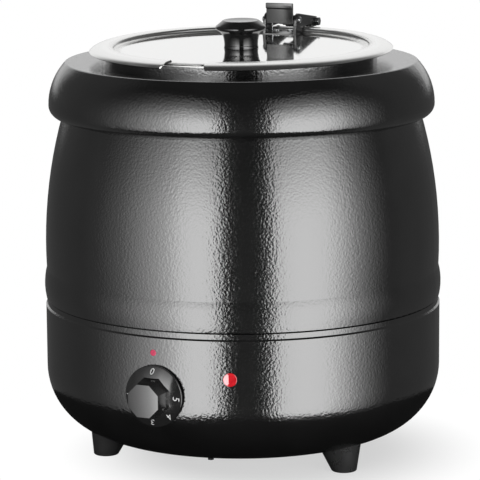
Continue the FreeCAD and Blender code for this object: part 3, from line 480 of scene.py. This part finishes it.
def makeNumbers():
    # printed on the dial's cone, tops outwards
    cone = math.atan2(dial["skirt"] - dial["rim"], dial["radius"] - dial["top"])
    level = dial["rim"] + (dial["radius"] - numbers["radius"]) * math.tan(cone)
    digits = []
    for mark, angle in numbers["marks"]:
        bpy.ops.object.select_all(action="DESELECT")
        bpy.ops.object.text_add()
        digit = bpy.context.object
        digit.data.body = mark
        digit.data.shear = numbers["slant"]
        digit.data.align_x = "CENTER"
        digit.data.align_y = "CENTER"
        # drawn out by 1 both ways, and then scaled to its thickness
        digit.data.extrude = 1
        bpy.ops.object.convert(target="MESH")
        heights = [point.co.y for point in digit.data.vertices]
        size = numbers["tall"] / (max(heights) - min(heights))
        digit.scale = (size, size, numbers["thick"] / 2)
        bpy.ops.object.transform_apply(scale=True)
        bpy.ops.object.origin_set(type="GEOMETRY_ORIGIN", center="BOUNDS")
        spin = Matrix.Rotation(math.radians(angle), 4, "Z")
        lean = Matrix.Rotation(-cone, 4, "X")
        settle(digit, spin @ Matrix.Translation((0, numbers["radius"], level)) @ lean)
        faceOut(digit)
        digits.append(digit)
    bpy.ops.object.select_all(action="DESELECT")
    for digit in digits:
        digit.select_set(True)
    bpy.context.view_layer.objects.active = digits[0]
    bpy.ops.object.join()
    settle(digits[0], wallPlace(dial["out"], dial["height"], dial["angle"]))
    dress(digits[0], "dialNumbers", nodes["control_dial"]["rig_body"], numberPaint)


# outline in shares of the radius and the rise
indexDot = {"radius": 2.6 * mm, "sunk": 0.4 * mm, "rise": 0.25 * mm, "points": 32, "smooth": 60,
            "outline": ((1, 0.3), (0.9, 0.7), (0.6, 0.95), (0.2, 1)),
            "out": 169.2 * mm, "height": 116.9 * mm, "angle": -9.1}


def makeIndexDot():
    # a blob of red enamel over the dial
    radius, rise = indexDot["radius"], indexDot["rise"]
    rings = [(radius, -indexDot["sunk"])]
    rings += [(wide * radius, high * rise) for wide, high in indexDot["outline"]]
    dot = stackRings(rings, indexDot["points"])
    settle(dot, wallPlace(indexDot["out"], indexDot["height"], indexDot["angle"]), indexDot["smooth"])
    dress(dot, "indexDot", nodes["base_bowl"]["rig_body"], dotRed)


lamp = {"radius": 5.6 * mm, "flange": 1.2 * mm, "dome": 0.5 * mm, "domeSteps": 8, "bezel": 0.7 * mm,
        "softEdge": 0.3 * mm, "points": 48, "smooth": 50, "out": 169.2 * mm, "height": 97.8 * mm, "angle": 12.8}


def makeLamp():
    # a round bezel edge, and a low dome inside it
    inner = lamp["radius"] - lamp["bezel"]
    rings = [(lamp["radius"], 0), (lamp["radius"], lamp["flange"]), (inner, lamp["flange"])]
    for step in range(1, lamp["domeSteps"]):
        share = 1 - step / lamp["domeSteps"]
        rings.append((inner * share, lamp["flange"] + lamp["dome"] * (1 - share ** 2)))
    lens = stackRings(rings, lamp["points"])
    roundEdges(lens, lamp["softEdge"], segments=2, angle=70)
    settle(lens, wallPlace(lamp["out"], lamp["height"], lamp["angle"]), lamp["smooth"])
    standIn(lens, "lampLens", "pilot_lamp_lens")


# the lid's own axes: x across, y back to the hinge, z up from the flat; its rear stands a little high
lidSeat = {"height": 346.752 * mm, "turn": -5.7, "tilt": 1.25}


def lidPlace():
    turn = Matrix.Rotation(math.radians(lidSeat["turn"]), 4, "Z")
    tilt = Matrix.Rotation(math.radians(lidSeat["tilt"]), 4, "X")
    return Matrix.Translation((0, 0, lidSeat["height"])) @ turn @ tilt


# outline in millimetres, from the foot up: a slim waist, a long flare, a round rim, a sloping shoulder and a
# shallow dish
knob = {"outline": ((14.3, 0.0), (14.7, 0.4), (14.5, 1.5), (14.3, 3.0), (14.4, 4.8), (14.6, 6.6), (14.9, 8.4),
                    (15.35, 10.1), (16.1, 11.9), (16.7, 12.8), (17.5, 13.7), (18.6, 14.6), (19.7, 15.2),
                    (20.7, 15.9), (21.3, 16.7), (21.5, 17.5), (21.3, 18.4), (20.8, 19.1), (20.1, 19.7),
                    (15.6, 23.4), (15.1, 23.65), (14.5, 23.7), (13.5, 23.55), (11.0, 23.3), (7.0, 23.05),
                    (2.0, 22.95)),
        "screw": 2.5 * mm, "screwEnd": 14.0 * mm, "points": 96, "smooth": 45}


def makeKnob():
    body = stackRings([(radius * mm, height * mm) for radius, height in knob["outline"]], knob["points"])
    drill(body, knob["screw"], knob["screwEnd"])
    settle(body, lidPlace(), knob["smooth"])
    standIn(body, "lidKnob", "lid_knob")


# lap is how far one part reaches into the next, and past is how far a cut runs out beyond the piece
hinge = {"half": 15.65 * mm, "cheek": 2.75 * mm, "front": 88.0 * mm, "footBack": 105.5 * mm, "foot": 1.6 * mm,
         "footEdge": 0.6 * mm, "footRise": 6.0 * mm, "overFlange": 4.9 * mm, "heelRound": 1.5 * mm,
         "crown": (95.0 * mm, 18.3 * mm), "crownRound": 2.5 * mm, "brow": (90.5 * mm, 13.3 * mm),
         "browRound": 1.5 * mm, "pivot": (139.0 * mm, 5.9 * mm), "lug": 4.5 * mm, "bolt": 2.0 * mm,
         "pin": (96.0 * mm, 12.3 * mm), "pinRadius": 2.0 * mm, "rivet": 2.0 * mm,
         "rivets": ((-6.5 * mm, 101.5 * mm), (6.5 * mm, 101.5 * mm)), "play": 0.05 * mm, "softEdge": 0.5 * mm,
         "lap": 1.0 * mm, "past": 5.0 * mm}


def makeBracket():
    pivot, lug = hinge["pivot"], hinge["lug"]
    drop = math.asin((pivot[1] - hinge["overFlange"]) / lug)
    slope = math.atan2(hinge["crown"][1] - pivot[1] - lug, pivot[0] - hinge["crown"][0])
    rear = arc(pivot, lug, 180 + math.degrees(drop), 450 - math.degrees(slope), steps=24)
    corners = [(hinge["front"], 0), (hinge["footBack"], 0), (hinge["footBack"], hinge["overFlange"])]
    corners += rear + [hinge["crown"], hinge["brow"]]
    rounds = ((corners[2], hinge["heelRound"]), (hinge["crown"], hinge["crownRound"]),
              (hinge["brow"], hinge["browRound"]))
    # the foot thins out towards the front, and keeps its sheet under the rivets
    bracket = cutPlate([(hinge["front"], 0), (hinge["footBack"], 0), (hinge["footBack"], hinge["foot"]),
                        (hinge["front"] + hinge["footRise"], hinge["foot"]),
                        (hinge["front"], hinge["footEdge"])],
                       -hinge["half"] + hinge["lap"], hinge["half"] - hinge["lap"])
    for side in (-1, 1):
        low, high = sorted((side * hinge["half"], side * (hinge["half"] - hinge["cheek"])))
        cheek = cutPlate(corners, low, high, rounds)
        roundEdges(cheek, hinge["softEdge"])
        combine(bracket, cheek)
    far = hinge["half"] + hinge["past"]
    combine(bracket, crossRod(hinge["bolt"] + hinge["play"], -far, far, pivot), "DIFFERENCE")
    combine(bracket, crossRod(hinge["pinRadius"], -far, far, hinge["pin"]), "DIFFERENCE")
    for spot in hinge["rivets"]:
        drill(bracket, hinge["rivet"], hinge["past"], spot)
    settle(bracket, lidPlace())
    standIn(bracket, "hingeBracket", "hinge_bracket")


lever = {"half": 12.5 * mm, "sheet": 1.4 * mm, "face": 90.0 * mm, "bottom": 9.2 * mm, "crease": 22.2 * mm,
         "top": 27.3 * mm, "lip": 1.4 * mm, "lipRise": 0.8 * mm, "ear": 4.2 * mm, "tailFrom": 1.5 * mm,
         "nose": (134.5 * mm, 7.1 * mm), "tail": 2.0 * mm, "root": 1.0 * mm, "heel": 1.0 * mm,
         "softEdge": 0.4 * mm, "earEdge": 0.3 * mm, "step": 0.15 * mm}


def makeLever():
    pin, half, sheet = hinge["pin"], lever["half"], lever["sheet"]
    back = lever["face"] + sheet
    front = lever["face"] - lever["lip"]
    plate = cutPlate([(lever["face"], lever["bottom"]), (back, lever["bottom"]), (back, lever["top"]),
                      (front, lever["top"]), (front, lever["crease"] + lever["lipRise"]),
                      (lever["face"], lever["crease"])], -half, half)
    roundEdges(plate, lever["softEdge"], angle=25)
    under = pin[1] - lever["ear"]
    ear = [(lever["face"] + sheet / 2, under + lever["heel"])] + arc(pin, lever["ear"], -90, 90, steps=16)
    ear += [(lever["face"] + sheet / 2, pin[1] + lever["ear"])]
    # each part stands a little inside the one before it
    step = lever["step"]
    for low in (-half + step, half - sheet - step):
        side = cutPlate(ear, low, low + sheet)
        roundEdges(side, lever["earEdge"], segments=2)
        combine(plate, side)
    nose, tail = lever["nose"], lever["tail"]
    arm = cutPlate([(pin[0], pin[1] - lever["root"]), nose, (nose[0], nose[1] + tail),
                    (pin[0], pin[1] + tail + lever["root"])], lever["tailFrom"], half - 2 * step)
    roundEdges(arm, lever["softEdge"], segments=2)
    combine(plate, arm)
    hub = crossRod(lever["ear"] - step, lever["tailFrom"] - step, half - 3 * step, pin)
    roundEdges(hub, lever["softEdge"], segments=2)
    combine(plate, hub)
    far = half + hinge["past"]
    combine(plate, crossRod(hinge["pinRadius"] + hinge["play"], -far, far, pin), "DIFFERENCE")
    faceOut(plate)
    settle(plate, lidPlace())
    standIn(plate, "releaseLever", "release_lever")


fasteners = {"pinHead": 2.8 * mm, "pinOut": 2.2 * mm, "dome": 1.1 * mm, "hex": 7.0 * mm, "head": 3.0 * mm,
             "gap": 0.3 * mm, "tail": 2.0 * mm, "chamfer": 0.45 * mm, "hexEdge": 0.2 * mm, "pinSmooth": 40}


def makePin():
    half, lap = hinge["half"], hinge["lap"]
    pin = crossRod(hinge["pinRadius"], -half - lap, half + lap, hinge["pin"])
    for side in (-1, 1):
        outer = side * (half + fasteners["pinOut"])
        low, high = sorted((side * half, outer))
        head = crossRod(fasteners["pinHead"], low, high, hinge["pin"])
        # the outer rim is peened round
        bevelEnd(head, outer, fasteners["dome"], segments=5)
        combine(pin, head)
    settle(pin, lidPlace(), fasteners["pinSmooth"])
    standIn(pin, "leverPin", "lever_pin")


def makeHex(start, end, outer):
    # hex is the width across the flats
    hexagon = crossRod(fasteners["hex"] / 2 / math.cos(math.pi / 6), start, end, hinge["pivot"], sides=6)
    bevelEnd(hexagon, outer, fasteners["chamfer"], segments=3)
    roundEdges(hexagon, fasteners["hexEdge"], segments=2, angle=50)
    return hexagon


def makeBolt():
    lap = hinge["lap"]
    seat = hinge["half"] + fasteners["gap"]
    outer = seat + fasteners["head"]
    tail = -outer - fasteners["tail"]
    bolt = crossRod(hinge["bolt"], tail, seat + lap, hinge["pivot"])
    bevelEnd(bolt, tail, fasteners["chamfer"], segments=3)
    combine(bolt, makeHex(seat, outer, outer))
    settle(bolt, lidPlace())
    standIn(bolt, "hingeBolt", "hinge_bolt")
    nut = makeHex(-outer, -seat, -outer)
    combine(nut, crossRod(hinge["bolt"], -outer - lap, lap - seat, hinge["pivot"]), "DIFFERENCE")
    settle(nut, lidPlace())
    standIn(nut, "hingeNut", "hinge_nut")


makeDial()
makeNumbers()
makeIndexDot()
makeLamp()
print("dial, numbers and lamp")
makeKnob()
print("knob")
makeBracket()
makeLever()
makePin()
makeBolt()
print("hinge")


camera = {"place": (0.6775, -2.2933, 0.6279), "turn": 16.51, "down": 10.59, "roll": -0.41, "lens": 212.35,
          "sensor": 36}


def addCamera():
    bpy.ops.object.camera_add()
    eye = bpy.context.object
    eye.name = "camera"
    turn = Matrix.Rotation(math.radians(camera["turn"]), 4, "Z")
    tilt = Matrix.Rotation(math.radians(90 - camera["down"]), 4, "X")
    roll = Matrix.Rotation(math.radians(camera["roll"]), 4, "Z")
    eye.matrix_world = Matrix.Translation(camera["place"]) @ turn @ tilt @ roll
    eye.data.lens = camera["lens"]
    eye.data.sensor_width = camera["sensor"]
    bpy.context.scene.camera = eye


def splitView(tree, kind, lit, seen):
    # the kettle's surfaces see one thing, and the camera another
    path = addNode(tree, "ShaderNodeLightPath")
    choose = addNode(tree, "ShaderNodeMixShader")
    out = addNode(tree, kind)
    tree.links.new(path.outputs["Is Camera Ray"], choose.inputs["Fac"])
    tree.links.new(lit.outputs[0], choose.inputs[1])
    tree.links.new(seen.outputs[0], choose.inputs[2])
    tree.links.new(choose.outputs[0], out.inputs["Surface"])


# the shade fades out from the first of these distances to the second
# dark is a painted shade: the floor as the kettle's surfaces see it
floor = {"radius": 0.26, "points": 96, "centre": (0.03, -0.01), "fade": (0.08, 0.2), "shade": 0.42,
         "white": 1.02, "matt": grey(0.8), "dark": grey(0.05)}


def addFloor():
    bpy.ops.object.select_all(action="DESELECT")
    bpy.ops.mesh.primitive_circle_add(vertices=floor["points"], radius=floor["radius"], fill_type="NGON")
    ground = bpy.context.object
    ground.name = "floor"
    pale = bpy.data.materials.new("paleFloor")
    pale.use_nodes = True
    tree = pale.node_tree
    tree.nodes.clear()
    # white towards the edge, so that it runs into the backdrop, and shaded under the kettle
    place = addNode(tree, "ShaderNodeTexCoord")
    offset = addNode(tree, "ShaderNodeVectorMath", operation="DISTANCE")
    offset.inputs[1].default_value = (*floor["centre"], 0)
    tree.links.new(place.outputs["Object"], offset.inputs[0])
    fade = mapRange(tree, offset.outputs["Value"], floor["fade"], (1 - floor["shade"], 1), "SMOOTHSTEP")
    matt = addNode(tree, "ShaderNodeBsdfDiffuse", Color=(*floor["matt"], 1))
    white = addNode(tree, "ShaderNodeEmission", Strength=floor["white"])
    seen = addNode(tree, "ShaderNodeMixShader")
    tree.links.new(fade, seen.inputs["Fac"])
    tree.links.new(matt.outputs[0], seen.inputs[1])
    tree.links.new(white.outputs[0], seen.inputs[2])
    # painted shade: the kettle's surfaces see the floor dark all over, as if it lay wholly in the kettle's
    # shadow, while the camera sees it pale
    dark = addNode(tree, "ShaderNodeBsdfDiffuse", Color=(*floor["dark"], 1))
    splitView(tree, "ShaderNodeOutputMaterial", dark, seen)
    ground.data.materials.append(pale)


# angles as the kettle sees them, round from the front; levels run from one side to the other
softboxes = [
    {"name": "leftSoftbox", "from": -84, "to": 4,
     "across": ((0.0, 0.0), (0.19, 0.02), (0.376, 0.11), (0.52, 0.31), (0.634, 0.55), (0.73, 0.95),
                (0.84, 1.0), (1.0, 0.95))},
    {"name": "rightSoftbox", "from": 33, "to": 105,
     "across": ((0.0, 0.85), (0.087, 0.95), (0.263, 1.0), (0.428, 0.95), (0.55, 0.6), (0.659, 0.27),
                (0.82, 0.08), (1.0, 0.0))},
]
# both reach from low to high, in degrees from level, and their levels run upwards
boxStand = {"middle": Vector((0, 0, 0.2)), "distance": 1.5, "low": -38, "high": 55, "glow": 3.0,
            "upward": ((0.4, 1.0), (0.53, 0.58), (0.64, 0.22), (0.88, 0.0))}


def addSoftbox(box):
    distance = boxStand["distance"]
    half = math.radians(box["to"] - box["from"]) / 2
    width = 2 * distance * math.tan(half)
    low = distance * math.tan(math.radians(boxStand["low"]))
    high = distance * math.tan(math.radians(boxStand["high"]))
    outward = direction((box["from"] + box["to"]) / 2)
    place = boxStand["middle"] + outward * distance + Vector((0, 0, (low + high) / 2))
    bpy.ops.object.light_add(type="AREA", location=place)
    light = bpy.context.object
    light.name = box["name"]
    light.rotation_euler = (-outward).to_track_quat("-Z", "Y").to_euler()
    light.data.shape = "RECTANGLE"
    light.data.size = width
    light.data.size_y = high - low
    light.data.energy = boxStand["glow"] * math.pi * width * (high - low)
    light.visible_camera = False
    # brighter towards the middle of the set, dimmer towards the top
    light.data.use_nodes = True
    tree = light.data.node_tree
    spot = addNode(tree, "ShaderNodeNewGeometry")
    parts = addNode(tree, "ShaderNodeSeparateXYZ")
    tree.links.new(spot.outputs["Parametric"], parts.inputs[0])
    level = addNode(tree, "ShaderNodeMath", operation="MULTIPLY")
    tree.links.new(levelRamp(tree, parts.outputs["X"], box["across"]), level.inputs[0])
    tree.links.new(levelRamp(tree, parts.outputs["Y"], boxStand["upward"]), level.inputs[1])
    tree.links.new(level.outputs[0], tree.nodes["Emission"].inputs["Strength"])


# levels from the front of the room, through its sides, to the white sweep behind; horizon and roof are heights
# of the gaze, between which the table ends and the ceiling starts
surround = {"levels": ((0.0, 0.02), (0.42, 0.02), (0.6, 0.09), (0.9, 0.11), (0.955, 0.95)),
            "table": ((0.0, 0.03), (0.42, 0.03), (0.6, 0.09), (0.9, 0.1)), "horizon": (-0.06, 0.04),
            "ceiling": grey(0.035), "roof": (0.7, 0.92), "backdrop": grey(1)}


def addSurround():
    world = bpy.data.worlds.new("studio")
    bpy.context.scene.world = world
    world.use_nodes = True
    tree = world.node_tree
    tree.nodes.clear()
    place = addNode(tree, "ShaderNodeTexCoord")
    parts = addNode(tree, "ShaderNodeSeparateXYZ")
    tree.links.new(place.outputs["Generated"], parts.inputs[0])
    # a white sweep stands behind the kettle, from the table up, as wide at the top as at the foot
    heading = addNode(tree, "ShaderNodeVectorMath", operation="NORMALIZE")
    tree.links.new(flatten(tree, place.outputs["Generated"]), heading.inputs[0])
    behind = addNode(tree, "ShaderNodeVectorMath", operation="DOT_PRODUCT")
    behind.inputs[1].default_value = -direction(camera["turn"])
    tree.links.new(heading.outputs[0], behind.inputs[0])
    facing = mapRange(tree, behind.outputs["Value"], (-1, 1))
    mix = addNode(tree, "ShaderNodeMix", data_type="RGBA")
    table = mapRange(tree, parts.outputs["Z"], surround["horizon"], curve="SMOOTHSTEP")
    tree.links.new(table, mix.inputs["Factor"])
    tree.links.new(levelRamp(tree, facing, surround["table"]), mix.inputs["A"])
    tree.links.new(levelRamp(tree, facing, surround["levels"]), mix.inputs["B"])
    # and a dim ceiling hangs over it
    roof = addNode(tree, "ShaderNodeMix", data_type="RGBA")
    roof.inputs["B"].default_value = (*surround["ceiling"], 1)
    above = mapRange(tree, parts.outputs["Z"], surround["roof"], curve="SMOOTHSTEP")
    tree.links.new(above, roof.inputs["Factor"])
    tree.links.new(mix.outputs["Result"], roof.inputs["A"])
    lit = addNode(tree, "ShaderNodeBackground")
    tree.links.new(roof.outputs["Result"], lit.inputs["Color"])
    seen = addNode(tree, "ShaderNodeBackground", Color=(*surround["backdrop"], 1))
    splitView(tree, "ShaderNodeOutputWorld", lit, seen)


addCamera()
addFloor()
for box in softboxes:
    addSoftbox(box)
addSurround()
bpy.context.scene.view_settings.view_transform = "Standard"
print("camera, floor and %d softboxes" % len(softboxes))
